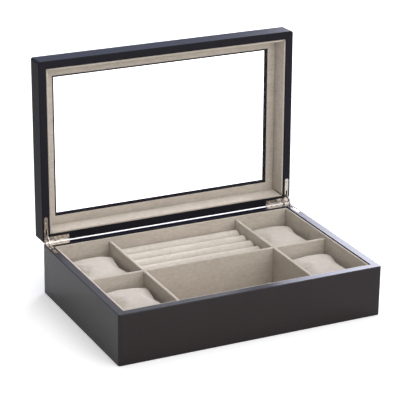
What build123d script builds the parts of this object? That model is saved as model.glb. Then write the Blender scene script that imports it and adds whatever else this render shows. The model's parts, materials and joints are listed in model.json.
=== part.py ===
"""Valet case for glasses, watches and rings: a lined wooden box with a glass-window lid.

Millimetres. X runs from left to right, Y from front to back and Z up. The origin is the centre of
the base's underside. The lid is modelled closed and then turned open about the hinge pins, so the
case stands with its lid open, resting on the hinge stops.
"""

import os
from math import atan, cos, degrees, radians, sin

from build123d import *

os.makedirs("parts", exist_ok=True)

# Case
case_width = 330.0
case_depth = 220.6
base_height = 61.5
lid_height = 24.0
wall = 9.2
corner_radius = 2.6
edge_round = 0.9
rim_gap = 0.3
open_angle = 91.2

# Bottom of the base
felt_thickness = 0.5
felt_inset = 2.0
panel_thickness = 4.0
panel_rebate = 4.5
board_fit = 0.15
floor_lining_thickness = 1.5

# Linings and dividers
lining = 2.4
lining_gap = 0.8
lining_recess = 1.0
divider_thickness = 4.0
divider_drop = 3.8
divider_spread = 168.4
cross_divider_y = 1.3
lap_fit = 0.1

# Ring rolls and what carries them
roll_count = 5
roll_crest_drop = 9.7
roll_fit = 0.2
roll_end_gap = 1.4
roll_edge = 1.0
ring_board_thickness = 2.0
batten_width = 8.0

# Watch pillows
pillow_depth = 79.0
pillow_height = 40.0
pillow_side_gap = 1.0
pillow_round = 13.0
pillow_waist = 6.5
soft_gap = 0.3

# Lid window
window_inset = 26.8
inner_frame_inset = 24.0
inner_frame_thickness = 1.0
inner_frame_face = 19.5
glass_thickness = 2.0
glass_rebate = 5.0
glass_fit = 0.3
glass_seat = 0.05
lid_lining_gap = 0.4
lid_lining_rim = 2.2
lid_lining_root = 4.4
lid_lining_recess = 0.8

# Hinges
pin_setback = 0.4
pin_radius = 1.0
pin_head_radius = 1.5
pin_head = 0.5
bore_fit = 0.05
barrel_radius = 2.0
barrel_length = 31.0
knuckle_count = 5
knuckle_gap = 0.2
leaf_thickness = 1.2
arm_width = 4.7
arm_reach = 32.5
leaf_fit = 0.1
cove_fit = 0.3
stay_radius = 9.7
stay_width = 3.0
stay_thickness = 1.2
stay_fit = 0.3
stay_hold_angle = 14.0
stay_slot_reach = 17.0
screw_head_radius = 1.8
screw_core_radius = 0.9
screw_length = 8.0
screw_fit = 0.05
screw_inset = 5.2
screw_pitch = 12.0
arm_screw_reach = 25.0
drive_width = 0.5
drive_length = 2.2
drive_depth = 0.6

# Heights and half sizes that follow from them
inner_width = case_width - 2 * wall
inner_depth = case_depth - 2 * wall
panel_top = felt_thickness + panel_thickness
floor = panel_top + floor_lining_thickness
lining_top = base_height - lining_recess
divider_top = lining_top - divider_drop
lined_width = inner_width - 2 * lining_gap
lined_depth = inner_depth - 2 * lining_gap
bay_width = lined_width - 2 * lining
bay_depth = lined_depth - 2 * lining
lid_bottom = base_height + rim_gap
lid_top = lid_bottom + lid_height
flange_bottom = lid_bottom + inner_frame_face + inner_frame_thickness
pin_y = case_depth / 2 + pin_setback
pin_z = base_height + rim_gap / 2
pin_axis = Axis((0, pin_y, pin_z), (1, 0, 0))
pin_plane = Plane.XY.offset(pin_z)


def write(piece, name):
    """Label a finished piece and write it as one STEP file."""
    piece.label = name
    export_step(piece, f"parts/{name}.step")


def opened(piece):
    """Turn a piece of the closed lid open about the hinge pins."""
    return piece.rotate(pin_axis, -open_angle)


# ------------------------------------------------------------------ mitred rings
# Walls and linings are square rings, each cut by 45-degree mitres into four boards.
half_width = case_width / 2
half_depth = case_depth / 2
ridge = half_width - half_depth
mitre_outlines = {
    "front": [(-half_width, -half_depth), (half_width, -half_depth), (ridge, 0), (-ridge, 0)],
    "back": [(-half_width, half_depth), (half_width, half_depth), (ridge, 0), (-ridge, 0)],
    "left": [(-half_width, -half_depth), (-half_width, half_depth), (-ridge, 0)],
    "right": [(half_width, -half_depth), (half_width, half_depth), (ridge, 0)],
}


def mitred(ring, side):
    """The board of a ring that lies on one side of the case, mitred at both ends."""
    with BuildPart() as board:
        add(ring)
        with BuildSketch(Plane.XY):
            with BuildLine():
                Polyline(*mitre_outlines[side], close=True)
            make_face()
        extrude(amount=lid_top, mode=Mode.INTERSECT)
    return board.part


# ------------------------------------------------------------------ hinge shapes
# All of them are drawn for the right-hand hinge on the base. The lid's half is the mirror image in
# the plane of the pins, and the left-hand hinge is the mirror image of the right-hand one.
arm_x = case_width / 2 - wall / 2
barrel_outer_x = arm_x + arm_width / 2
barrel_inner_x = barrel_outer_x - barrel_length
leaf_front = case_depth / 2 - wall / 2 - arm_width / 2
leaf_back = pin_y - barrel_radius - cove_fit
arm_end = pin_y - arm_reach
knuckle_pitch = (barrel_length + knuckle_gap) / knuckle_count
knuckle_length = knuckle_pitch - knuckle_gap
stay_end_angle = open_angle / 2 + stay_hold_angle
stay_slot_half = stay_thickness / 2 + stay_fit
stay_slot_near = pin_y - stay_radius + stay_width / 2 + 2 * stay_fit
stay_slot_far = pin_y - stay_slot_reach
screw_points = [
    (barrel_inner_x + screw_inset, case_depth / 2 - wall / 2),
    (barrel_inner_x + screw_inset + screw_pitch, case_depth / 2 - wall / 2),
    (arm_x, pin_y - arm_screw_reach),
]


def leaf_plate(grow, back):
    """The L-shaped plate of a leaf, larger by grow all round and reaching to the line y = back."""
    with BuildPart() as plate:
        with BuildSketch(Plane.XY.offset(base_height - leaf_thickness)):
            with Locations(((barrel_inner_x + barrel_outer_x) / 2, (leaf_front - grow + back) / 2)):
                Rectangle(barrel_length + 2 * grow, back - leaf_front + grow)
            with Locations((arm_x, (arm_end + arm_width / 2 + back) / 2)):
                Rectangle(arm_width + 2 * grow, back - arm_end - arm_width / 2)
            with Locations((arm_x, arm_end + arm_width / 2)):
                Circle(arm_width / 2 + grow)
        extrude(amount=leaf_thickness)
    return plate.part


def screw_body(grow):
    """A countersunk screw with its head flush at z = 0, larger by grow."""
    with BuildPart() as body:
        with Locations((0, 0, -leaf_thickness / 2)):
            Cone(screw_core_radius + grow, screw_head_radius + grow, leaf_thickness)
        with Locations((0, 0, -leaf_thickness)):
            Cylinder(
                screw_core_radius + grow,
                screw_length + grow - leaf_thickness,
                align=(Align.CENTER, Align.CENTER, Align.MAX),
            )
    return body.part


def barrel_rod(radius, start_x, length):
    """A rod on the pin's axis, from start_x towards the outside."""
    with BuildPart() as rod:
        with BuildSketch(Plane.YZ.offset(start_x)):
            with Locations((pin_y, pin_z)):
                Circle(radius)
        extrude(amount=length)
    return rod.part


def leaf(first_knuckle):
    """A right-hand leaf whose knuckles are every second one, counted from first_knuckle."""
    with BuildPart() as body:
        add(leaf_plate(0, leaf_back))
        for index in range(first_knuckle, knuckle_count, 2):
            start_x = barrel_inner_x + index * knuckle_pitch
            add(barrel_rod(barrel_radius, start_x, knuckle_length))
            with BuildSketch(Plane.XY.offset(base_height - leaf_thickness)):
                with Locations((start_x + knuckle_length / 2, (leaf_front + pin_y) / 2)):
                    Rectangle(knuckle_length, pin_y - leaf_front)
            extrude(amount=leaf_thickness)
        bore = barrel_rod(
            pin_radius + bore_fit, barrel_inner_x - knuckle_gap, barrel_length + 2 * knuckle_gap
        )
        add(bore, mode=Mode.SUBTRACT)
        with BuildSketch(Plane.XY.offset(base_height - leaf_thickness)):
            with Locations((arm_x, (stay_slot_near + stay_slot_far) / 2)):
                SlotOverall(stay_slot_near - stay_slot_far, 2 * stay_slot_half, rotation=90)
        extrude(amount=leaf_thickness, mode=Mode.SUBTRACT)
        with Locations(*[(x, y, base_height) for x, y in screw_points]):
            add(screw_body(screw_fit), mode=Mode.SUBTRACT)
    return body.part


def hinge_seat():
    """What the walls give up to the right-hand hinge: leaf seat, barrel cove, stay pocket, pilots."""
    pocket_depth = stay_radius * sin(radians(stay_end_angle)) + stay_width / 2 + stay_fit
    pocket_near = stay_radius * cos(radians(stay_end_angle)) - stay_width / 2 - stay_fit
    pocket_far = stay_radius + stay_width / 2 + stay_fit
    head_room = pin_head + cove_fit
    with BuildPart() as seat:
        add(leaf_plate(leaf_fit, case_depth / 2))
        cove_start = barrel_inner_x - head_room
        add(barrel_rod(barrel_radius + cove_fit, cove_start, barrel_length + 2 * head_room))
        with Locations((arm_x, pin_y - (pocket_near + pocket_far) / 2, pin_z)):
            Box(
                2 * stay_slot_half,
                pocket_far - pocket_near,
                pocket_depth,
                align=(Align.CENTER, Align.CENTER, Align.MAX),
            )
        with Locations(*[(x, y, base_height) for x, y in screw_points]):
            add(screw_body(screw_fit))
    return seat.part


right_seat = hinge_seat()
base_seats = [right_seat, right_seat.mirror(Plane.YZ)]
lid_seats = [seat.mirror(pin_plane) for seat in base_seats]

# ------------------------------------------------------------------ base walls
with BuildPart() as base_ring:
    with BuildSketch(Plane.XY.offset(felt_thickness)):
        RectangleRounded(case_width, case_depth, corner_radius)
        Rectangle(inner_width, inner_depth, mode=Mode.SUBTRACT)
    extrude(amount=base_height - felt_thickness)
    with BuildSketch(Plane.XY.offset(felt_thickness)):
        Rectangle(inner_width + 2 * panel_rebate, inner_depth + 2 * panel_rebate)
    extrude(amount=panel_thickness, mode=Mode.SUBTRACT)
    rim_face = base_ring.faces().filter_by(Axis.Z).sort_by(Axis.Z)[-1]
    fillet(rim_face.outer_wire().edges(), edge_round)
    for seat in base_seats:
        add(seat, mode=Mode.SUBTRACT)

for side in mitre_outlines:
    write(mitred(base_ring.part, side), f"{side}_wall")

# ------------------------------------------------------------------ bottom of the base
with BuildPart() as base_felt:
    with BuildSketch(Plane.XY):
        RectangleRounded(case_width - 2 * felt_inset, case_depth - 2 * felt_inset, corner_radius)
    extrude(amount=felt_thickness)
write(base_felt.part, "base_felt")

with BuildPart() as bottom_panel:
    with BuildSketch(Plane.XY.offset(felt_thickness)):
        Rectangle(
            inner_width + 2 * (panel_rebate - board_fit),
            inner_depth + 2 * (panel_rebate - board_fit),
        )
    extrude(amount=panel_thickness)
write(bottom_panel.part, "bottom_panel")

with BuildPart() as floor_lining:
    with BuildSketch(Plane.XY.offset(panel_top)):
        Rectangle(inner_width - 2 * board_fit, inner_depth - 2 * board_fit)
    extrude(amount=floor_lining_thickness)
write(floor_lining.part, "floor_lining")

# ------------------------------------------------------------------ base linings
# The lining boards stand on the floor lining, a narrow gap clear of the walls.
with BuildPart() as lining_ring:
    with BuildSketch(Plane.XY.offset(floor)):
        Rectangle(lined_width, lined_depth)
        Rectangle(bay_width, bay_depth, mode=Mode.SUBTRACT)
    extrude(amount=lining_top - floor)

for side in mitre_outlines:
    write(mitred(lining_ring.part, side), f"{side}_lining")

# ------------------------------------------------------------------ dividers
# The long dividers are slotted from above and the cross divider from below, each to half its height.
divider_height = divider_top - floor
lap_slot = divider_thickness + 2 * lap_fit
divider_x = {"left": -divider_spread / 2, "right": divider_spread / 2}

for side, x in divider_x.items():
    with BuildPart() as long_divider:
        with Locations((x, 0, floor + divider_height / 2)):
            Box(divider_thickness, bay_depth - 2 * board_fit, divider_height)
        with Locations((x, cross_divider_y, divider_top)):
            Box(
                divider_thickness,
                lap_slot,
                divider_height / 2,
                align=(Align.CENTER, Align.CENTER, Align.MAX),
                mode=Mode.SUBTRACT,
            )
    write(long_divider.part, f"{side}_divider")

with BuildPart() as cross_divider:
    with Locations((0, cross_divider_y, floor + divider_height / 2)):
        Box(bay_width - 2 * board_fit, divider_thickness, divider_height)
    with Locations(*[(x, cross_divider_y, floor) for x in divider_x.values()]):
        Box(
            lap_slot,
            divider_thickness,
            divider_height / 2,
            align=(Align.CENTER, Align.CENTER, Align.MIN),
            mode=Mode.SUBTRACT,
        )
write(cross_divider.part, "cross_divider")

# ------------------------------------------------------------------ ring rolls
# The rolls lie side by side from the cross divider to the back lining, on a board on two battens.
middle_width = divider_spread - divider_thickness
roll_length = middle_width - 2 * roll_end_gap
rear_bay_front = cross_divider_y + divider_thickness / 2
rear_bay_back = bay_depth / 2
rear_bay_depth = rear_bay_back - rear_bay_front
rear_bay_y = (rear_bay_front + rear_bay_back) / 2
roll_pitch = rear_bay_depth / roll_count
roll_radius = (roll_pitch - roll_fit) / 2
roll_axis_z = divider_top - roll_crest_drop - roll_radius
ring_board_top = roll_axis_z - roll_radius

for index in range(roll_count):
    with BuildPart() as ring_roll:
        with BuildSketch(Plane.YZ):
            with Locations((rear_bay_back - (index + 0.5) * roll_pitch, roll_axis_z)):
                Circle(roll_radius)
        extrude(amount=roll_length / 2, both=True)
        fillet(ring_roll.edges().filter_by(GeomType.CIRCLE), roll_edge)
    write(ring_roll.part, f"ring_roll_{index + 1}")

with BuildPart() as ring_board:
    with BuildSketch(Plane.XY.offset(ring_board_top)):
        with Locations((0, rear_bay_y)):
            Rectangle(middle_width - 2 * board_fit, rear_bay_depth - 2 * board_fit)
    extrude(amount=-ring_board_thickness)
write(ring_board.part, "ring_board")

batten_x = (middle_width - batten_width) / 2 - board_fit
with BuildPart() as ring_battens:
    with BuildSketch(Plane.XY.offset(floor)):
        with Locations((-batten_x, rear_bay_y), (batten_x, rear_bay_y)):
            Rectangle(batten_width, rear_bay_depth - 2 * board_fit)
    extrude(amount=ring_board_top - ring_board_thickness - floor)
write(ring_battens.part, "ring_battens")

# ------------------------------------------------------------------ watch pillows
# A pillow is a rounded block whose two ends are drawn in at the middle, one in each corner bay.
side_bay_width = (bay_width - divider_spread - divider_thickness) / 2
side_bay_x = (divider_spread + divider_thickness + side_bay_width) / 2
front_bay_back = cross_divider_y - divider_thickness / 2
front_bay_y = (front_bay_back - bay_depth / 2) / 2
pillow_width = side_bay_width - 2 * pillow_side_gap
pillow_bottom = floor + soft_gap

for row, y in {"front": front_bay_y, "rear": rear_bay_y}.items():
    for side, x in {"left": -side_bay_x, "right": side_bay_x}.items():
        with BuildPart() as pillow:
            with BuildSketch(Plane.YZ.offset(x - pillow_width / 2)):
                with Locations((y, pillow_bottom + pillow_height / 2)):
                    RectangleRounded(pillow_depth, pillow_height, pillow_round)
            extrude(amount=pillow_width)
            with BuildSketch(Plane.XY.offset(pillow_bottom)):
                for end in (-1, 1):
                    end_x = x + end * pillow_width / 2
                    with BuildLine():
                        corners = Line((end_x, y - pillow_depth / 2), (end_x, y + pillow_depth / 2))
                        ThreePointArc(corners @ 0, (end_x - end * pillow_waist, y), corners @ 1)
                    make_face()
            extrude(amount=pillow_height, mode=Mode.SUBTRACT)
        write(pillow.part, f"{row}_{side}_pillow")

# ------------------------------------------------------------------ lid rails
window_width = case_width - 2 * window_inset
window_depth = case_depth - 2 * window_inset
rebate_depth = glass_thickness + 2 * glass_seat

with BuildPart() as lid_ring:
    with BuildSketch(Plane.XY.offset(lid_bottom)):
        RectangleRounded(case_width, case_depth, corner_radius)
        Rectangle(window_width, window_depth, mode=Mode.SUBTRACT)
    extrude(amount=lid_height)
    with BuildSketch(Plane.XY.offset(lid_bottom)):
        Rectangle(inner_width, inner_depth)
    extrude(amount=flange_bottom - lid_bottom, mode=Mode.SUBTRACT)
    with BuildSketch(Plane.XY.offset(flange_bottom)):
        Rectangle(window_width + 2 * glass_rebate, window_depth + 2 * glass_rebate)
    extrude(amount=rebate_depth, mode=Mode.SUBTRACT)
    top_face = lid_ring.faces().filter_by(Axis.Z).sort_by(Axis.Z)[-1]
    rim_face = lid_ring.faces().filter_by(Axis.Z).sort_by(Axis.Z)[0]
    fillet(top_face.outer_wire().edges() + rim_face.outer_wire().edges(), edge_round)
    for seat in lid_seats:
        add(seat, mode=Mode.SUBTRACT)

for side in mitre_outlines:
    write(opened(mitred(lid_ring.part, side)), f"lid_{side}_rail")

# ------------------------------------------------------------------ window
with BuildPart() as glass_pane:
    with BuildSketch(Plane.XY.offset(flange_bottom + glass_seat)):
        Rectangle(
            window_width + 2 * (glass_rebate - glass_fit),
            window_depth + 2 * (glass_rebate - glass_fit),
        )
    extrude(amount=glass_thickness)
write(opened(glass_pane.part), "glass_pane")

with BuildPart() as inner_frame:
    with BuildSketch(Plane.XY.offset(lid_bottom + inner_frame_face)):
        Rectangle(inner_width - 2 * board_fit, inner_depth - 2 * board_fit)
        Rectangle(
            case_width - 2 * inner_frame_inset,
            case_depth - 2 * inner_frame_inset,
            mode=Mode.SUBTRACT,
        )
    extrude(amount=inner_frame_thickness)
write(opened(inner_frame.part), "inner_frame")

# ------------------------------------------------------------------ lid linings
# The strips stand on the inner frame, a narrow gap clear of the rails. They are thin at the rim and
# thicken towards the frame.
strip_width = inner_width - 2 * lid_lining_gap
strip_depth = inner_depth - 2 * lid_lining_gap
lid_lining_height = inner_frame_face - lid_lining_recess
lid_lining_slope = degrees(atan((lid_lining_root - lid_lining_rim) / lid_lining_height))

with BuildPart() as lid_lining_ring:
    with BuildSketch(Plane.XY.offset(lid_bottom + lid_lining_recess)):
        Rectangle(strip_width, strip_depth)
    extrude(amount=lid_lining_height)
    with BuildSketch(Plane.XY.offset(lid_bottom + lid_lining_recess)) as lid_hollow:
        Rectangle(strip_width - 2 * lid_lining_rim, strip_depth - 2 * lid_lining_rim)
    extrude(amount=lid_lining_height, taper=lid_lining_slope, mode=Mode.SUBTRACT)

for side in mitre_outlines:
    write(opened(mitred(lid_lining_ring.part, side)), f"lid_{side}_lining")

# ------------------------------------------------------------------ hinges
# The base's leaf has the odd knuckles and the lid's leaf the even ones.
right_base_leaf = leaf(0)
right_lid_leaf = leaf(1).mirror(pin_plane)

with BuildPart() as right_pin:
    add(barrel_rod(pin_radius, barrel_inner_x, barrel_length))
    add(barrel_rod(pin_head_radius, barrel_inner_x - pin_head, pin_head))
    add(barrel_rod(pin_head_radius, barrel_outer_x, pin_head))

stay_top_angle = 180 - open_angle - stay_hold_angle
with BuildPart() as right_stay:
    with BuildSketch(Plane.YZ.offset(arm_x)):
        with BuildLine():
            stay_line = CenterArc(
                (pin_y, pin_z),
                stay_radius,
                start_angle=stay_top_angle,
                arc_size=open_angle + 2 * stay_hold_angle,
            )
        SlotArc(stay_line, stay_width)
    extrude(amount=stay_thickness / 2, both=True)

write(right_base_leaf, "right_base_leaf")
write(right_base_leaf.mirror(Plane.YZ), "left_base_leaf")
write(opened(right_lid_leaf), "right_lid_leaf")
write(opened(right_lid_leaf.mirror(Plane.YZ)), "left_lid_leaf")
write(right_pin.part, "right_hinge_pin")
write(right_pin.part.mirror(Plane.YZ), "left_hinge_pin")
write(right_stay.part, "right_stay")
write(right_stay.part.mirror(Plane.YZ), "left_stay")

with BuildPart() as leaf_screw:
    add(screw_body(0))
    for turn in (0, 90):
        with Locations(Location((0, 0, 0), (0, 0, turn))):
            Box(
                drive_length,
                drive_width,
                drive_depth,
                align=(Align.CENTER, Align.CENTER, Align.MAX),
                mode=Mode.SUBTRACT,
            )

with BuildPart() as base_leaf_screws:
    with Locations(*[(side * x, y, base_height) for side in (-1, 1) for x, y in screw_points]):
        add(leaf_screw.part)
write(base_leaf_screws.part, "base_leaf_screws")
write(opened(base_leaf_screws.part.mirror(pin_plane)), "lid_leaf_screws")
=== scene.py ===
# %% [markdown]
# # A valet case for glasses, watches and rings
#
# The real case is a lacquered wooden box with suede linings, stuffed pillows, ring rolls and a lid
# with a glass window. Its hard parts arrive as finished CAD solids: this lesson loads them, gives
# them their finishes, and models everything that is cloth. All lengths are in metres, X runs to
# the right, Y to the back and Z up.

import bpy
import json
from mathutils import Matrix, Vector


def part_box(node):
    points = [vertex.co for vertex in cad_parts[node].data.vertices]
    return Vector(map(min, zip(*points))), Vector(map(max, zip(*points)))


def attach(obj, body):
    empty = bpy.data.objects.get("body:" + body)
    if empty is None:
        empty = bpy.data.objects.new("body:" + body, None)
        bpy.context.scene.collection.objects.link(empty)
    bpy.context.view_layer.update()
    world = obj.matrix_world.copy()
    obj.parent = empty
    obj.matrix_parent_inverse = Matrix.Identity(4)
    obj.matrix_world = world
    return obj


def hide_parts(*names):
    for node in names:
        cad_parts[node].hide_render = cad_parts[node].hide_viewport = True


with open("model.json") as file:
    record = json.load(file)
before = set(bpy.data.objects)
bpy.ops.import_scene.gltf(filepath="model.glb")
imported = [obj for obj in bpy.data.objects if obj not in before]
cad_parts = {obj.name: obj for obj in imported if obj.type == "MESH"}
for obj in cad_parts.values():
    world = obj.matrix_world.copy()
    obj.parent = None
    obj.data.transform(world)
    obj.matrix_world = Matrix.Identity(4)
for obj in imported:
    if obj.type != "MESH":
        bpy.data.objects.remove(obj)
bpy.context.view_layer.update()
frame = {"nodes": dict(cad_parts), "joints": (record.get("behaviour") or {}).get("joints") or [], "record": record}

# %% Tools of the lesson
import json
from math import cos, pi, radians, sin

import bmesh
import bpy
from mathutils import Matrix, Vector, noise

MM = 0.001
TOUCH = 0.01 * MM
X, Y = Vector((1, 0, 0)), Vector((0, 1, 0))
print("two points count as one when they are within", TOUCH / MM, "mm")

# %% [markdown]
# ## How the lid stands
#
# The lid is open, leaning on its hinge stops. Pieces of the lid are easiest to make with the lid
# shut, square to the axes, and to swing open afterwards. The hinge's place and angle are read from
# the record, so that they follow the CAD model.

# %% Hinge line and angle
hinge = next(joint for joint in frame["joints"] if joint["name"] == "lid_hinge")
hinge_line = Vector(hinge["pos_m"])
open_angle = radians(hinge["range_deg"][1])
print("hinge line at", hinge_line[:], "opening", hinge["range_deg"][1], "degrees")


def shut_box(node):
    """Lowest and highest corner that a node of the lid would have with the lid shut."""
    swing = Matrix.Rotation(open_angle, 3, "X")
    points = [vertex.co for vertex in frame["nodes"][node].data.vertices]
    corners = [swing @ (point - hinge_line) + hinge_line for point in points]
    low = Vector([min(corner[axis] for corner in corners) for axis in range(3)])
    high = Vector([max(corner[axis] for corner in corners) for axis in range(3)])
    return low, high


# %% [markdown]
# ## Selecting
#
# Every new piece starts as a primitive at its size and place and is shaped in edit mode. An
# operator acts on all that is selected, so the first helper selects one piece alone, and another
# picks faces, edges or points by a test on where they lie. Two small measures make such tests
# short.


# %% Take a piece, pick its parts, leave it
def take(piece):
    """Select one piece alone and make it active."""
    if bpy.context.mode != "OBJECT":
        bpy.ops.object.mode_set(mode="OBJECT")
    bpy.ops.object.select_all(action="DESELECT")
    piece.select_set(True)
    bpy.context.view_layer.objects.active = piece


def edit_all(piece):
    """Open a piece in edit mode with everything selected."""
    take(piece)
    bpy.ops.object.mode_set(mode="EDIT")
    bpy.ops.mesh.select_all(action="SELECT")


def pick(piece, kind, test):
    """In edit mode, select the parts of one kind (VERT, EDGE or FACE) that pass the test."""
    take(piece)
    bpy.ops.object.mode_set(mode="EDIT")
    bpy.ops.mesh.select_mode(type=kind)
    bpy.ops.mesh.select_all(action="DESELECT")
    mesh = bmesh.from_edit_mesh(piece.data)
    for part in {"VERT": mesh.verts, "EDGE": mesh.edges, "FACE": mesh.faces}[kind]:
        if test(part):
            part.select_set(True)
    bmesh.update_edit_mesh(piece.data)


def leave():
    """Go back from edit mode to object mode."""
    bpy.ops.object.mode_set(mode="OBJECT")


# %% Measures for the tests
STRAIGHT = 0.99


def reach(edge, axis):
    """How far an edge runs along X, Y or Z."""
    number = "XYZ".index(axis)
    return abs(edge.verts[0].co[number] - edge.verts[1].co[number])


def middle(edge):
    """The middle point of an edge."""
    return (edge.verts[0].co + edge.verts[1].co) / 2


print("a face looks along an axis when its normal reaches", STRAIGHT, "along it")

# %% [markdown]
# ## Blocks and modifiers
#
# Most pieces of this case are boards, so one helper adds a cube stretched between two corners and
# writes its place and size into the mesh. Modifiers are applied as soon as they are added, which
# leaves plain meshes that sit at the origin.


# %% Start a piece and work on it
def block(name, low, high):
    """A cube stretched from its lowest to its highest corner."""
    bpy.ops.object.select_all(action="DESELECT")
    low, high = Vector(low), Vector(high)
    bpy.ops.mesh.primitive_cube_add(size=1, location=(low + high) / 2, scale=high - low)
    piece = bpy.context.active_object
    piece.name = piece.data.name = name
    bpy.ops.object.transform_apply(location=True, rotation=True, scale=True)
    return piece


def apply_modifier(piece, kind, **settings):
    """Add a modifier with these settings and apply it."""
    take(piece)
    bpy.ops.object.modifier_add(type=kind)
    modifier = piece.modifiers[-1]
    for key, value in settings.items():
        setattr(modifier, key, value)
    bpy.ops.object.modifier_apply(modifier=modifier.name)


def smooth(piece, angle=40):
    """Shade smooth, with edges sharper than the angle left crisp."""
    take(piece)
    bpy.ops.object.shade_smooth_by_angle(angle=radians(angle))


# %% [markdown]
# ## Finishing a piece
#
# A piece of the lid is turned open about the hinge line at the very end. Then every piece gets its
# material, is told which body it rides on, and stands for the plain CAD nodes that it covers.


# %% Swing open, dress and hand over
def swing_open(piece):
    """Turn a piece of the shut lid open about the hinge line."""
    edit_all(piece)
    bpy.ops.transform.rotate(
        value=open_angle, orient_axis="X", orient_type="GLOBAL", center_override=hinge_line
    )
    leave()


def dress(piece, material):
    """Give a piece one material alone."""
    piece.data.materials.clear()
    piece.data.materials.append(material)


def finish_piece(piece, body, material, slot, *nodes):
    """Dress a finished piece, let it ride on its body and stand for its CAD nodes."""
    dress(piece, material)
    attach(piece, body)
    if nodes:
        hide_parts(*nodes)
    print(piece.name, "has", len(piece.data.polygons), "faces and rides on", body)


# %% [markdown]
# ## Sums in a material
#
# A material's colour or bump is often a sum of patterns. Wiring Math nodes one by one is slow to
# read, so a small class wraps an output socket, and adding or multiplying two of them makes the
# Math node.


# %% Sockets that can be added and multiplied
class Wire:
    """An output socket that takes part in Python sums."""

    def __init__(self, board, socket):
        self.board = board
        self.socket = socket

    def maths(self, operation, first, second):
        """A Math node on two wires or numbers."""
        return self.board.make("Math", {"operation": operation}, {0: first, 1: second})

    def __add__(self, other):
        return self.maths("ADD", self, other)

    def __radd__(self, other):
        return self.maths("ADD", other, self)

    def __mul__(self, other):
        return self.maths("MULTIPLY", self, other)

    def __rmul__(self, other):
        return self.maths("MULTIPLY", other, self)

    def __rsub__(self, other):
        return self.maths("SUBTRACT", other, self)


# %% [markdown]
# Every other kind of node comes from one method. It sets the node up, fills its sockets with plain
# values or with links, and hands back one output as a wire.


# %% A board of nodes
class Board:
    """An empty node tree, with one method that makes every kind of node."""

    def __init__(self, tree, output_kind):
        self.tree = tree
        self.tree.nodes.clear()
        self.output = tree.nodes.new("ShaderNode" + output_kind)

    def make(self, kind, settings, values, output=0):
        """Make a node, set it up, fill its sockets with values or links, and give one output."""
        node = self.tree.nodes.new("ShaderNode" + kind)
        for key, value in settings.items():
            if key == "stops":
                self.set_stops(node.color_ramp, value)
            else:
                setattr(node, key, value)
        for key, value in values.items():
            self.fill(node.inputs[key], value)
        return Wire(self, node.outputs[output])

    def set_stops(self, ramp, stops):
        """Give a colour ramp its stops, as (position, grey) pairs."""
        while len(ramp.elements) < len(stops):
            ramp.elements.new(1)
        for element, (position, grey) in zip(ramp.elements, stops):
            element.position = position
            element.color = (grey, grey, grey, 1)

    def fill(self, socket, value):
        """Link a wire to a socket, or write a plain value on it."""
        if isinstance(value, Wire):
            self.tree.links.new(value.socket, socket)
        elif isinstance(value, tuple) and len(value) == 3 and socket.type == "RGBA":
            socket.default_value = (*value, 1)
        else:
            socket.default_value = value

    def surface(self, shader):
        """Let a shader be what the tree puts out."""
        self.fill(self.output.inputs["Surface"], shader)


# %% [markdown]
# A finish is a board that carries one surface shader. Its patterns read the place on the piece
# itself, so they stay put when the piece moves.


# %% One finish
class Finish(Board):
    """A new material with one surface shader."""

    def __init__(self, name, **constants):
        self.material = bpy.data.materials.new(name)
        self.material.use_nodes = True
        super().__init__(self.material.node_tree, "OutputMaterial")
        self.coat = self.make("BsdfPrincipled", {}, {})
        self.surface(self.coat)
        for key, value in constants.items():
            self.set(key.replace("_", " "), value)
        self.place = self.make("TexCoord", {}, {}, "Object")

    def set(self, socket_name, value):
        """Give one socket of the surface shader a value or a link."""
        self.fill(self.coat.socket.node.inputs[socket_name], value)

    def stretched(self, scale):
        """The place on the piece, with each axis scaled."""
        values = {"Vector": self.place, "Scale": scale}
        return self.make("Mapping", {"vector_type": "POINT"}, values)

    def grain(self, scale, detail=2.0, roughness=0.5, place=None):
        """A cloudy pattern from 0 to 1, with about as many patches to a metre as its scale."""
        values = {
            "Vector": place or self.place,
            "Scale": scale,
            "Detail": detail,
            "Roughness": roughness,
        }
        return self.make("TexNoise", {}, values, "Fac")

    def ramp(self, share, low, high):
        """Stretch the part of a pattern between low and high to run from 0 to 1."""
        return self.make("ValToRGB", {"stops": ((low, 0.0), (high, 1.0))}, {"Fac": share})

    def blend(self, share, first, second):
        """A colour between two colours."""
        mixed = self.make("Mix", {"data_type": "RGBA"}, {})
        node = mixed.socket.node
        for socket in node.inputs:
            if socket.enabled:
                self.fill(socket, {"Factor": share, "A": first, "B": second}[socket.name])
        return Wire(self, next(socket for socket in node.outputs if socket.enabled))

    def bump(self, height, depth):
        """Raise the surface by height, which runs from 0 to 1, times depth in metres."""
        values = {"Height": height, "Distance": depth, "Strength": 1.0}
        self.set("Normal", self.make("Bump", {}, values))


# %% [markdown]
# ## Black lacquer
#
# The box is wood under a satin black lacquer. The lacquer is nearly black and mirrors its pale
# surroundings softly, most of all where it is seen at a low angle. Under it the wood's pores still
# show as very fine lines along each board, and the film has the faint ripple of sprayed paint. The
# grain runs along each board, so the finish is made once for each direction. The base's rim gets
# a bluer black painted into its colour, a painted reflection of the cool room: it is picked out by
# its height on the piece.


# %% Lacquer along X, Y or Z
PORE_STRETCH = 0.03
PORES, RIPPLE, BANDS, CLOUDS = 900, 260, 60, 14
CLOUD_SHARE, BAND_SHARE = 0.6, 0.4
SATIN, CLOUD_HAZE, PORE_HAZE = 0.25, 0.06, 0.05
FILM_DEPTH = 0.02 * MM
# A bluer black painted on the base's rim: a painted reflection of the cool room.
RIM_PAINTED_REFLECTION = (0.0075, 0.0074, 0.0185)
RIM_DEPTH = 0.2 * MM
rim_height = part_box("front_wall")[1].z - RIM_DEPTH


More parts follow.
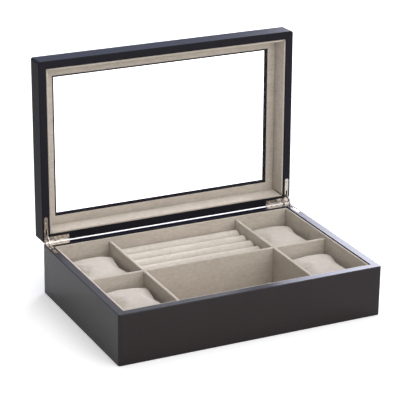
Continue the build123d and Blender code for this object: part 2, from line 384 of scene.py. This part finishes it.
def black_lacquer(name, along, deep, worn, mirror, paint_rim_reflection=False):
    """Satin black lacquer on wood whose grain runs along one axis."""
    finish = Finish(name, Specular_IOR_Level=mirror)
    scale = tuple(PORE_STRETCH if axis == along else 1.0 for axis in "XYZ")
    along_board = finish.stretched(scale)
    pores = finish.grain(PORES, detail=3, place=along_board)
    bands = finish.grain(BANDS, detail=2, place=along_board)
    ripple = finish.grain(RIPPLE, detail=1)
    clouds = finish.grain(CLOUDS, detail=3)
    shade = finish.blend(clouds * CLOUD_SHARE + bands * BAND_SHARE, deep, worn)
    # Painted reflection: above the rim's height the colour turns to a bluer black, which stands for the cool room
    # mirrored in the rim.
    if paint_rim_reflection:
        height = finish.make("SeparateXYZ", {}, {0: finish.place}, "Z")
        on_rim = finish.make("Math", {"operation": "GREATER_THAN"}, {0: height, 1: rim_height})
        shade = finish.blend(on_rim, shade, RIM_PAINTED_REFLECTION)
    finish.set("Base Color", shade)
    finish.set("Roughness", SATIN + clouds * CLOUD_HAZE + pores * PORE_HAZE)
    finish.bump(pores * 0.5 + ripple * 0.5, FILM_DEPTH)
    return finish.material


print("the base's rim starts at", round(rim_height / MM, 1), "mm")

# %% [markdown]
# The lid is a cooler black than the base, and its two side rails are rubbed duller than the rest.
# The lid stands open, so the grain of its side rails runs upwards.

# %% Eight boards
BASE_LACQUER = {
    "deep": (0.0104, 0.0066, 0.0071),
    "worn": (0.0147, 0.0095, 0.0097),
    "mirror": 0.29,
    "paint_rim_reflection": True,
}
LID_LACQUER = {
    "deep": (0.0100, 0.0096, 0.0135),
    "worn": (0.0135, 0.0128, 0.0170),
    "mirror": 0.09,
}
RUBBED_LACQUER = {
    "deep": (0.0175, 0.0168, 0.0220),
    "worn": (0.0215, 0.0205, 0.0265),
    "mirror": 0.025,
}
base_along_x = black_lacquer("base_lacquer_x", "X", **BASE_LACQUER)
base_along_y = black_lacquer("base_lacquer_y", "Y", **BASE_LACQUER)
lid_along_x = black_lacquer("lid_lacquer_x", "X", **LID_LACQUER)
lid_along_z = black_lacquer("lid_lacquer_z", "Z", **RUBBED_LACQUER)
lacquered = {
    "front_wall": base_along_x,
    "back_wall": base_along_x,
    "left_wall": base_along_y,
    "right_wall": base_along_y,
    "lid_front_rail": lid_along_x,
    "lid_back_rail": lid_along_x,
    "lid_left_rail": lid_along_z,
    "lid_right_rail": lid_along_z,
}
for node, material in lacquered.items():
    dress(frame["nodes"][node], material)
print("lacquered", len(lacquered), "boards")

# %% [markdown]
# ## Suede cloth
#
# Linings, rolls and pillows are covered with a greige suede cloth. Up close it is a short nap:
# tiny flecks a third of a millimetre wide. From further off it has soft streaks and blotches where
# a hand has brushed the nap another way. It never mirrors, but its fibres catch light at the rim,
# which is what sheen is for. One recipe makes all of them, a little paler where the cloth is
# stuffed.


# %% Suede in three shades
SUEDE_CONSTANTS = {
    "Roughness": 0.94,
    "Sheen_Weight": 0.2,
    "Sheen_Roughness": 0.5,
    "Specular_IOR_Level": 0.2,
}
NAP_LIES = (0.4, 0.4, 1.0)
NAP, FLECKS, BRUSHED, BLOTCHES = 2400, 420, 120, 30
NAP_DEPTH = 0.12 * MM


def suede(name, pale, deep):
    """Short-napped suede cloth between a pale and a deep shade."""
    finish = Finish(name, **SUEDE_CONSTANTS)
    lying = finish.stretched(NAP_LIES)
    nap = finish.grain(NAP, detail=2, roughness=0.6)
    flecks = finish.grain(FLECKS, detail=3, roughness=0.6, place=lying)
    flecks = finish.ramp(flecks, 0.32, 0.68)
    brushed = finish.grain(BRUSHED, detail=4, roughness=0.6, place=lying)
    brushed = finish.ramp(brushed, 0.3, 0.7)
    blotches = finish.grain(BLOTCHES, detail=2)
    shade = nap * 0.1 + flecks * 0.4 + brushed * 0.25 + blotches * 0.25
    finish.set("Base Color", finish.blend(shade, deep, pale))
    finish.bump(nap * 0.5 + flecks * 0.3 + brushed * 0.2, NAP_DEPTH)
    return finish.material


lining_suede = suede("lining_suede", pale=(0.597, 0.535, 0.462), deep=(0.397, 0.351, 0.299))
roll_suede = suede("roll_suede", pale=(0.655, 0.597, 0.530), deep=(0.475, 0.427, 0.372))
pillow_suede = suede("pillow_suede", pale=(0.566, 0.517, 0.456), deep=(0.455, 0.413, 0.362))
print("suede: lining, roll and pillow")

# %% [markdown]
# ## Metal and glass
#
# The hinges are polished brass under a pale champagne plating, with hair-fine polishing marks that
# vary the gloss. The screws are the same metal, a little paler and duller. The pane
# is clear glass with an anti-glare coat, which a low index of refraction stands for: the inside
# stays in sight when the lid is shut. Its own shadow is switched off, because light passes a real
# pane.


# %% Plated metal and clear glass
MARKS, HAZE = 1500, 320
MARKS_RUN = (0.2, 1.0, 1.0)
MARKS_DEPTH = 0.006 * MM
SMEARS, SMEAR_HAZE = 40, 0.01


def plated_metal(name, bright, dull, gloss):
    """Polished metal with fine marks and slightly uneven gloss."""
    finish = Finish(name, Metallic=1.0)
    marks = finish.grain(MARKS, detail=2, place=finish.stretched(MARKS_RUN))
    haze = finish.ramp(finish.grain(HAZE, detail=2), 0.35, 0.65)
    finish.set("Base Color", finish.blend(1 - haze, dull, bright))
    finish.set("Roughness", gloss + marks * 0.08 + haze * 0.06)
    finish.bump(marks, MARKS_DEPTH)
    return finish.material


def clear_glass():
    """A clear pane."""
    finish = Finish("clear_glass", Transmission_Weight=1.0, IOR=1.06, Base_Color=(1, 1, 1))
    finish.set("Roughness", finish.grain(SMEARS) * SMEAR_HAZE)
    return finish.material


metal_and_glass = {
    "champagne_brass": plated_metal(
        "champagne_brass", bright=(0.60, 0.55, 0.48), dull=(0.38, 0.34, 0.29), gloss=0.08
    ),
    "screw_brass": plated_metal(
        "screw_brass", bright=(0.70, 0.65, 0.58), dull=(0.42, 0.37, 0.32), gloss=0.20
    ),
    "pin_steel": plated_metal(
        "pin_steel", bright=(0.72, 0.70, 0.68), dull=(0.62, 0.60, 0.58), gloss=0.22
    ),
    "clear_glass": clear_glass(),
}
print("made", *metal_and_glass)

# %% [markdown]
# ## Board and felt
#
# The bottom panel is dark fibreboard with a fine fleck. The felt under it is matted fibre with no
# weave, so it is as rough as can be and catches light at the rim only through its sheen.


# %% Fibreboard and pressed felt
BOARD_FLECKS, FIBRES = 700, 1400
BOARD_DULL, FLECK_HAZE = 0.72, 0.12
FLECK_DEPTH, FIBRE_DEPTH = 0.05 * MM, 0.2 * MM


def plain_board(name, pale, deep):
    """Fibreboard with a fine fleck."""
    finish = Finish(name, Specular_IOR_Level=0.3)
    fleck = finish.grain(BOARD_FLECKS, detail=3)
    finish.set("Base Color", finish.blend(1 - fleck, deep, pale))
    finish.set("Roughness", BOARD_DULL + fleck * FLECK_HAZE)
    finish.bump(fleck, FLECK_DEPTH)
    return finish.material


def pressed_felt(name, pale, deep):
    """Pressed felt: matted fibres with no weave."""
    finish = Finish(name, Sheen_Weight=0.3, Specular_IOR_Level=0.1, Roughness=1.0)
    fibres = finish.grain(FIBRES, detail=4, roughness=0.7)
    finish.set("Base Color", finish.blend(1 - fibres, deep, pale))
    finish.bump(fibres, FIBRE_DEPTH)
    return finish.material


panel_board = plain_board("panel_board", pale=(0.055, 0.045, 0.036), deep=(0.03, 0.024, 0.02))
base_felt = pressed_felt("base_felt", pale=(0.022, 0.021, 0.022), deep=(0.012, 0.012, 0.013))
by_slot = {**metal_and_glass, "panel_board": panel_board}
for row in frame["record"]["subparts"]:
    if row["material_slot"] in by_slot:
        dress(frame["nodes"][row["node"]], by_slot[row["material_slot"]])
frame["nodes"]["glass_pane"].visible_shadow = False
print("metal, glass and board are on their CAD nodes")

# %% [markdown]
# ## Covered boards
#
# A lining is a thin board wrapped in suede. The cloth turns softly round each edge, so the board
# is a block whose edges are bevelled by about the cloth's thickness. Where two linings meet in a
# corner their ends are mitred, and the two soft edges leave the fine dark line that shows in every
# corner. A mitre is a bisect: one plane cuts the end off at 45 degrees and closes the cut.

# %% Mitred ends and soft edges
WRAP = 0.55 * MM
WRAP_STEPS = 3
CREASE = radians(20)

inward = {"front": Y, "back": -Y, "left": X, "right": -X}


def cut_mitres(piece, side, low, high):
    """Cut both ends of a board at 45 degrees, where it meets its neighbours in a ring."""
    lengthwise = X if inward[side].x == 0 else Y
    for end in (-1, 1):
        way = lengthwise * end - inward[side]
        outer_corner = (low + high) / 2 + Vector(a * b / 2 for a, b in zip(high - low, way))
        edit_all(piece)
        bpy.ops.mesh.bisect(
            plane_co=outer_corner,
            plane_no=(lengthwise * end + inward[side]).normalized(),
            use_fill=True,
            clear_outer=True,
        )
        leave()


def soften(piece, width, steps=WRAP_STEPS):
    """Round every edge of a covered board by the cloth's turn."""
    pick(piece, "EDGE", lambda edge: edge.calc_face_angle(0) > CREASE)
    bpy.ops.mesh.bevel(offset=width, segments=steps, affect="EDGES", clamp_overlap=True)
    leave()
    smooth(piece)


# %% Four linings of the base
for side in inward:
    low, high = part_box(f"{side}_lining")
    board = block(f"{side}_lining_cloth", low, high)
    cut_mitres(board, side, low, high)
    soften(board, WRAP)
    finish_piece(board, "base", lining_suede, "lining_suede", f"{side}_lining")

# %% [markdown]
# ## Dividers
#
# The two long dividers and the cross divider are thinner covered boards, halved together: the long
# ones have a slot from above and the cross one has two from below. A slot is cut with a boolean
# modifier and a throwaway block. Their free top edge is folded cloth, so it is nearly a half
# round.

# %% Slots and folds
TOP_FOLD = 1.2 * MM
FOLD_STEPS = 4
LAP = 0.1 * MM
SPARE = 1 * MM
LONG_EDGE = 4 * MM


def cut_slot(piece, low, high):
    """Cut a block-shaped slot out of a piece."""
    cutter = block("slot_cutter", low, high)
    apply_modifier(piece, "BOOLEAN", operation="DIFFERENCE", object=cutter, solver="EXACT")
    bpy.data.objects.remove(cutter)


def fold_top(piece, top, along):
    """Round the two long top edges of a divider."""

    def long_top_edge(edge):
        return abs(middle(edge).z - top) < TOUCH and reach(edge, along) > LONG_EDGE

    pick(piece, "EDGE", long_top_edge)
    bpy.ops.mesh.bevel(
        offset=TOP_FOLD, segments=FOLD_STEPS, affect="EDGES", clamp_overlap=True
    )
    leave()
    smooth(piece)


# %% Halved dividers
cross_low, cross_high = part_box("cross_divider")
half_height = (cross_low.z + cross_high.z) / 2
cross = block("cross_divider_cloth", cross_low, cross_high)

for side in ("left", "right"):
    low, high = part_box(f"{side}_divider")
    divider = block(f"{side}_divider_cloth", low, high)
    slot_low = Vector((low.x - SPARE, cross_low.y - LAP, half_height))
    slot_high = Vector((high.x + SPARE, cross_high.y + LAP, high.z + SPARE))
    cut_slot(divider, slot_low, slot_high)
    fold_top(divider, high.z, "Y")
    finish_piece(divider, "base", lining_suede, "lining_suede", f"{side}_divider")
    slot_low = Vector((low.x - LAP, cross_low.y - SPARE, cross_low.z - SPARE))
    slot_high = Vector((high.x + LAP, cross_high.y + SPARE, half_height))
    cut_slot(cross, slot_low, slot_high)

fold_top(cross, cross_high.z, "X")
finish_piece(cross, "base", lining_suede, "lining_suede", "cross_divider")

# %% [markdown]
# ## Floor lining and felt
#
# The floor is one suede-covered card under everything. The underside carries a sheet of pressed
# felt that keeps the case from scratching a table. Both are thin blocks. The card's edges are
# turned like the linings', and the felt's four corners are rounded with scissors.

# %% Floor card
low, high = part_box("floor_lining")
card = block("floor_lining_cloth", low, high)
soften(card, WRAP)
finish_piece(card, "base", lining_suede, "lining_suede", "floor_lining")

# %% Felt sheet
FELT_CORNER = 3 * MM
FELT_CORNER_STEPS = 6
FELT_EDGE = 0.2 * MM

low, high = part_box("base_felt")
felt = block("base_felt_sheet", low, high)
pick(felt, "EDGE", lambda edge: reach(edge, "Z") > TOUCH)
bpy.ops.mesh.bevel(offset=FELT_CORNER, segments=FELT_CORNER_STEPS, affect="EDGES")
leave()
soften(felt, FELT_EDGE, steps=1)
finish_piece(felt, "base", base_felt, "base_felt", "base_felt")

# %% [markdown]
# ## Ring rolls
#
# A ring roll is a foam rod wrapped in suede, and a row of them, side by side, holds rings upright
# in the grooves between. A roll is a cylinder on its side. Its ends are tucked in: each end face
# is inset and drawn inwards, which leaves a rounded shoulder. One roll is modelled and copied.

# %% One roll
ROLL_SIDES = 48
ROLL_RINGS = 60
ROLL_SHOULDER = 1.6 * MM
SHOULDER_STEPS = 4
ROLL_TUCKS = ((1.6 * MM, 0), (2.2 * MM, 0.72 * MM), (2.0 * MM, 1.2 * MM))


def ring_roll():
    """The first ring roll, straight and without lumps."""
    low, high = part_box("ring_roll_1")
    bpy.ops.object.select_all(action="DESELECT")
    bpy.ops.mesh.primitive_cylinder_add(
        vertices=ROLL_SIDES,
        radius=(high.z - low.z) / 2,
        depth=high.x - low.x,
        location=(low + high) / 2,
        rotation=(0, pi / 2, 0),
    )
    roll = bpy.context.active_object
    roll.name = roll.data.name = "ring_roll_pattern"
    bpy.ops.object.transform_apply(location=True, rotation=True, scale=True)
    pick(roll, "EDGE", lambda edge: reach(edge, "X") < TOUCH)
    bpy.ops.mesh.bevel(offset=ROLL_SHOULDER, segments=SHOULDER_STEPS, affect="EDGES")

    for inset, tuck in ROLL_TUCKS:
        for end in (-1, 1):

            def end_face(face):
                return face.normal.x * end > STRAIGHT and len(face.verts) == ROLL_SIDES

            pick(roll, "FACE", end_face)
            bpy.ops.mesh.inset(thickness=inset)
            bpy.ops.transform.translate(value=(-end * tuck, 0, 0))

    pick(roll, "EDGE", lambda edge: reach(edge, "X") > (high.x - low.x) / 2)
    bpy.ops.mesh.subdivide(number_cuts=ROLL_RINGS)
    leave()
    return roll


pattern = ring_roll()
print("a plain roll has", len(pattern.data.polygons), "faces")

# %% [markdown]
# Foam under cloth is never quite even. Each copy of the roll gets its own small lumps: every point
# moves along its normal by a smooth random height, and a number of its own keeps each copy
# different and the same in every run.

# %% Five rolls with lumps
SEED_STEP = Vector((7.3, 3.1, 5.7))
ROLL_LUMPS = {"depth": -0.18 * MM, "size": 14 * MM}


def lumpy(piece, depth, size, seed):
    """Move each point along its normal by a smooth random height, in place of hand-made lumps."""
    mesh = piece.data
    normals = [vertex.normal.copy() for vertex in mesh.vertices]
    for vertex, normal in zip(mesh.vertices, normals):
        height = noise.noise(vertex.co / size + SEED_STEP * seed)
        vertex.co += normal * height * depth
    mesh.update()


pattern_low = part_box("ring_roll_1")[0]
roll_names = sorted(name for name in frame["nodes"] if name.startswith("ring_roll_"))
for seed, name in enumerate(roll_names, start=1):
    take(pattern)
    bpy.ops.object.duplicate()
    roll = bpy.context.active_object
    roll.name = roll.data.name = f"{name}_cloth"
    edit_all(roll)
    bpy.ops.transform.translate(value=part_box(name)[0] - pattern_low)
    leave()
    lumpy(roll, seed=seed, **ROLL_LUMPS)
    smooth(roll, angle=60)
    finish_piece(roll, "base", roll_suede, "roll_suede", name)
bpy.data.objects.remove(pattern)

# %% [markdown]
# ## Watch pillows
#
# A watch pillow is a stuffed suede sleeve that a closed strap is pulled over. The sleeve crowns,
# and its two ends are tucked in and stitched at the middle, so that the four corners stand out and
# small creases run from the tuck. It starts as a block a little smaller than the bay: the long
# edges are bevelled round, a voxel remesh gives it even cloth-sized faces, and the ends are drawn
# in at the middle and lowered a little.

# %% Pillow shape before stuffing
PILLOW_ROUND = 11 * MM
ROUND_STEPS = 8
PILLOW_INSET = 1.2 * MM
VOXEL = 2.2 * MM
TUCK_DEPTH = 8.0 * MM
TUCK_WIDTH = 0.95
TUCK_SHARPNESS = 1.5
TUCK_FLARE = 0.25
END_DROP = 5.5 * MM
LENGTHWISE_EDGE = 10 * MM


def pillow_block(name, low, high):
    """A rounded block with ends drawn in, with even small faces, ready for the simulation."""
    inset = Vector((PILLOW_INSET, PILLOW_INSET, 0))
    piece = block(name, low + inset, high - inset)
    pick(piece, "EDGE", lambda edge: reach(edge, "X") > LENGTHWISE_EDGE)
    bpy.ops.mesh.bevel(offset=PILLOW_ROUND, segments=ROUND_STEPS, affect="EDGES")
    leave()
    apply_modifier(piece, "REMESH", mode="VOXEL", voxel_size=VOXEL)
    centre = (low + high) / 2
    half = (high - low) / 2
    for vertex in piece.data.vertices:
        across, along, upright = [
            (vertex.co[axis] - centre[axis]) / half[axis] for axis in range(3)
        ]
        tuck = max(0.0, 1 - abs(along) / TUCK_WIDTH) ** TUCK_SHARPNESS
        vertex.co.x -= TUCK_DEPTH * across**3 * tuck * (1 - TUCK_FLARE * upright**2)
        vertex.co.z -= END_DROP * across**4 * max(0.0, upright)
    piece.data.update()
    return piece


# %% [markdown]
# A short cloth simulation with air pressure inside puffs the pillow. Gravity is off, because the
# stuffing carries the cloth. A slight negative shrinkage gives the cloth a little spare length,
# and that becomes the creases at the tucks. The tucks and the flat underside are pinned, and the
# moves are capped, so that the pillow stays in its bay.

# %% Stuffing by simulation
CLOTH_FRAMES = 20
CLOTH_CAP = 3.2 * MM
CLOTH = {
    "quality": 5,
    "mass": 0.1,
    "tension_stiffness": 12,
    "compression_stiffness": 12,
    "bending_stiffness": 0.4,
    "use_pressure": True,
    "uniform_pressure_force": 4,
    "shrink_min": -0.05,
    "vertex_group_mass": "pins",
}
STITCH_HALF = 2.2 * MM
STITCH_FROM = 0.6
RESTING_HEIGHT = 1.5 * MM


def pin(piece, low, high):
    """Pin the stitched tucks at both ends and the underside."""
    centre = (low + high) / 2
    half = (high - low) / 2
    pins = piece.vertex_groups.new(name="pins")
    for vertex in piece.data.vertices:
        aside = vertex.co - centre
        tucked = abs(aside.y) < STITCH_HALF and abs(aside.x) > half.x * STITCH_FROM
        resting = vertex.co.z < low.z + RESTING_HEIGHT
        if tucked or resting:
            pins.add([vertex.index], 1.0, "REPLACE")


def stuff(piece):
    """Puff the pillow with a short cloth simulation and cap how far each point moves."""
    before = [vertex.co.copy() for vertex in piece.data.vertices]
    take(piece)
    bpy.ops.object.modifier_add(type="CLOTH")
    cloth = piece.modifiers[-1]
    for key, value in CLOTH.items():
        setattr(cloth.settings, key, value)
    cloth.settings.effector_weights.gravity = 0
    cloth.point_cache.frame_start = 1
    cloth.point_cache.frame_end = CLOTH_FRAMES
    for number in range(1, CLOTH_FRAMES + 1):
        bpy.context.scene.frame_set(number)
    take(piece)
    bpy.ops.object.modifier_apply(modifier=cloth.name)
    bpy.context.scene.frame_set(1)
    moves = []
    for vertex, start in zip(piece.data.vertices, before):
        move = vertex.co - start
        moves.append(move.length)
        if move.length > CLOTH_CAP:
            vertex.co = start + move * (CLOTH_CAP / move.length)
    piece.data.update()
    print(piece.name, "moved by up to", round(max(moves) / MM, 2), "mm")


# %% Four pillows
PILLOW_LUMPS = {"depth": 0.35 * MM, "size": 11 * MM}
FIRST_PILLOW_SEED = 11

bays = ("front_left", "front_right", "rear_left", "rear_right")
for seed, name in enumerate(bays, start=FIRST_PILLOW_SEED):
    low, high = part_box(f"{name}_pillow")
    pillow = pillow_block(f"{name}_pillow_cloth", low, high)
    pin(pillow, low, high)
    stuff(pillow)
    apply_modifier(pillow, "SUBSURF", levels=1, render_levels=1)
    lumpy(pillow, seed=seed, **PILLOW_LUMPS)
    smooth(pillow, angle=70)
    finish_piece(pillow, f"{name}_pillow", pillow_suede, "pillow_suede", f"{name}_pillow")

# %% [markdown]
# ## Inner frame of the lid
#
# Seen from inside, the window is framed by a flat suede-covered card. It is a thin block whose
# upper and lower faces are inset by the frame's width and bridged, which opens the window in one
# step.

# %% Covered window frame
FRAME_TURN = 0.35 * MM
low, high = shut_box("inner_frame")
frame_points = frame["nodes"]["inner_frame"].data.vertices
frame_width = high.x - min(abs(vertex.co.x) for vertex in frame_points)
print("inner frame is", round(frame_width / MM, 1), "mm wide")

window_frame = block("inner_frame_cloth", low, high)
for facing in (1, -1):
    pick(window_frame, "FACE", lambda face: face.normal.z * facing > STRAIGHT)
    bpy.ops.mesh.inset(thickness=frame_width)


def inside_the_frame(face):
    """Whether a face is one of the two that fill the window."""
    aside = face.calc_center_median().xy - (low.xy + high.xy) / 2
    return abs(face.normal.z) > STRAIGHT and aside.length < MM


pick(window_frame, "FACE", inside_the_frame)
bpy.ops.mesh.bridge_edge_loops()
leave()
soften(window_frame, FRAME_TURN, steps=2)
swing_open(window_frame)
finish_piece(window_frame, "lid", lining_suede, "lining_suede", "inner_frame")

# %% [markdown]
# ## Linings of the lid
#
# The strips round the lid are padded towards the window: thin at the rim and thicker at the frame.
# Each is a block whose inner edge is moved outwards at the rim, so that its face slopes, and
# mitred like the linings of the base.

# %% Sloping strips
STRIP_RIM = 2.2 * MM
STRIP_WRAP = 0.8 * MM
STRIP_STEPS = 4

for side, toward in inward.items():
    low, high = shut_box(f"lid_{side}_lining")
    strip = block(f"lid_{side}_lining_cloth", low, high)
    cut_mitres(strip, side, low, high)
    outer, inner = sorted(corner.dot(toward) for corner in (low, high))

    def inner_rim_point(vertex):
        at_rim = abs(vertex.co.z - low.z) < TOUCH
        return at_rim and abs(vertex.co.dot(toward) - inner) < TOUCH

    pick(strip, "VERT", inner_rim_point)
    bpy.ops.transform.translate(value=toward * (STRIP_RIM - inner + outer))
    leave()
    soften(strip, STRIP_WRAP, STRIP_STEPS)
    swing_open(strip)
    finish_piece(strip, "lid", lining_suede, "lining_suede", f"lid_{side}_lining")

# %% [markdown]
# ## Floor, light and camera
#
# The case stands on a plain white floor that runs out to a white room. The soft boxes light the
# floor as they light the case, and a little plain white is added for the camera and for
# reflections, so that the floor is white and keeps the soft shadow. Through the window it is plain
# white.

# %% White floor
FLOOR_SIZE = 12.0
FLOOR_PARTS = 8
PAPER = (0.94, 0.94, 0.94)
WHITE = (1, 1, 1)
ADDED_WHITE = 0.345
MIRRORED_WHITE = 0.1

bpy.ops.object.select_all(action="DESELECT")
bpy.ops.mesh.primitive_grid_add(
    x_subdivisions=FLOOR_PARTS, y_subdivisions=FLOOR_PARTS, size=FLOOR_SIZE, location=(0, 0, 0)
)
floor = bpy.context.active_object
floor.name = "floor"
paper = Finish("floor_white", Roughness=0.9, Specular_IOR_Level=0.0, Base_Color=PAPER)
from_camera = paper.make("LightPath", {}, {}, "Is Camera Ray")
from_gloss = paper.make("LightPath", {}, {}, "Is Glossy Ray")
through_glass = paper.make("LightPath", {}, {}, "Is Transmission Ray")
share = from_camera * ADDED_WHITE + from_gloss * MIRRORED_WHITE + through_glass
white = paper.make("Emission", {}, {"Color": WHITE, "Strength": 1.0})
added = paper.make("MixShader", {}, {0: share, 2: white})
paper.surface(paper.make("AddShader", {}, {0: paper.coat, 1: added}))
dress(floor, paper.material)
print("the floor is", FLOOR_SIZE, "m wide")

# %% [markdown]
# The room is white for the camera and through the window. It sheds hardly any light on the case,
# and polished and lacquered faces mirror it as a cool pale grey.

# %% White room
ROOM_FILL = 0.1
ROOM_MIRRORED = (0.54, 0.60, 0.84)

bpy.context.scene.world = bpy.data.worlds.new("white_room")
bpy.context.scene.world.use_nodes = True
room = Board(bpy.context.scene.world.node_tree, "OutputWorld")
fill_light = room.make("Background", {}, {"Color": WHITE, "Strength": ROOM_FILL})
mirrored = room.make("Background", {}, {"Color": ROOM_MIRRORED, "Strength": 1.0})
plain = room.make("Background", {}, {"Color": WHITE, "Strength": 1.0})
gloss_ray = room.make("LightPath", {}, {}, "Is Glossy Ray")
camera_ray = room.make("LightPath", {}, {}, "Is Camera Ray")
glass_ray = room.make("LightPath", {}, {}, "Is Transmission Ray")
unseen = room.make("MixShader", {}, {0: gloss_ray, 1: fill_light, 2: mirrored})
room.surface(room.make("MixShader", {}, {0: camera_ray + glass_ray, 1: unseen, 2: plain}))
print("the room fills the shade with", ROOM_FILL, "of white")

# %% [markdown]
# Four soft boxes light the case: a very wide one above, which gives the close soft shadow at the
# foot of the walls, a wide one in front that looks down into the bays, one at the front right, so
# that faces turned to the left are the darkest, and a small bright one low at the back right,
# which the lacquered rims mirror.


# %% Soft boxes
CASE_MIDDLE = (0, 0, 0.05)
COOL_WHITE = (0.86, 0.87, 1.0)


def soft_box(name, place, size, power, aim=CASE_MIDDLE, tint=WHITE):
    """A square area lamp at a place, aimed at a point."""
    bpy.ops.object.select_all(action="DESELECT")
    bpy.ops.object.light_add(type="AREA", location=place)
    lamp = bpy.context.active_object
    lamp.name = lamp.data.name = name
    lamp.data.shape = "SQUARE"
    lamp.data.size = size
    lamp.data.energy = power
    lamp.data.color = tint
    lamp.rotation_euler = (Vector(aim) - Vector(place)).to_track_quat("-Z", "Y").to_euler()
    print(name, "gives", power, "W from", size, "m across")


soft_box("top_box", place=(0.3, 0.3, 2.0), size=2.4, power=30)
soft_box("front_box", place=(0.15, -2.05, 1.25), size=2.0, power=31)
soft_box("right_box", place=(1.6, -1.6, 1.2), size=1.6, power=14)
soft_box(
    "rim_box", place=(1.48, 1.41, 0.85), size=1.0, power=30, aim=(0, 0, 0.1), tint=COOL_WHITE
)

# %% [markdown]
# The camera stands at the front left, a little over two metres away, and looks down on the case
# with a long lens, which keeps the box's edges nearly parallel.

# %% Camera
CAMERA_PLACE = Vector((-0.8873, -1.7602, 0.8873))
CAMERA_YAW = 0.4602
CAMERA_PITCH = 0.3669
CAMERA_ROLL = 0.0145
FRAME_PIXELS = 400
FOCAL_PIXELS = 1838.0
SENSOR = 36.0
FAR_END = 100

ahead_x, ahead_y = sin(CAMERA_YAW), cos(CAMERA_YAW)
forward = Vector(
    (ahead_x * cos(CAMERA_PITCH), ahead_y * cos(CAMERA_PITCH), -sin(CAMERA_PITCH))
)
level = Vector((ahead_y, -ahead_x, 0))
upright = level.cross(forward)
right = level * cos(CAMERA_ROLL) + upright * sin(CAMERA_ROLL)
up = upright * cos(CAMERA_ROLL) - level * sin(CAMERA_ROLL)
bpy.ops.object.camera_add(location=CAMERA_PLACE)
camera = bpy.context.active_object
camera.rotation_euler = Matrix((right, up, -forward)).transposed().to_euler()
camera.data.sensor_width = SENSOR
camera.data.lens = SENSOR * FOCAL_PIXELS / FRAME_PIXELS
camera.data.clip_end = FAR_END
bpy.context.scene.camera = camera
bpy.context.scene.view_settings.view_transform = "Standard"
print("camera at", CAMERA_PLACE[:], "with a", round(camera.data.lens, 1), "mm lens")
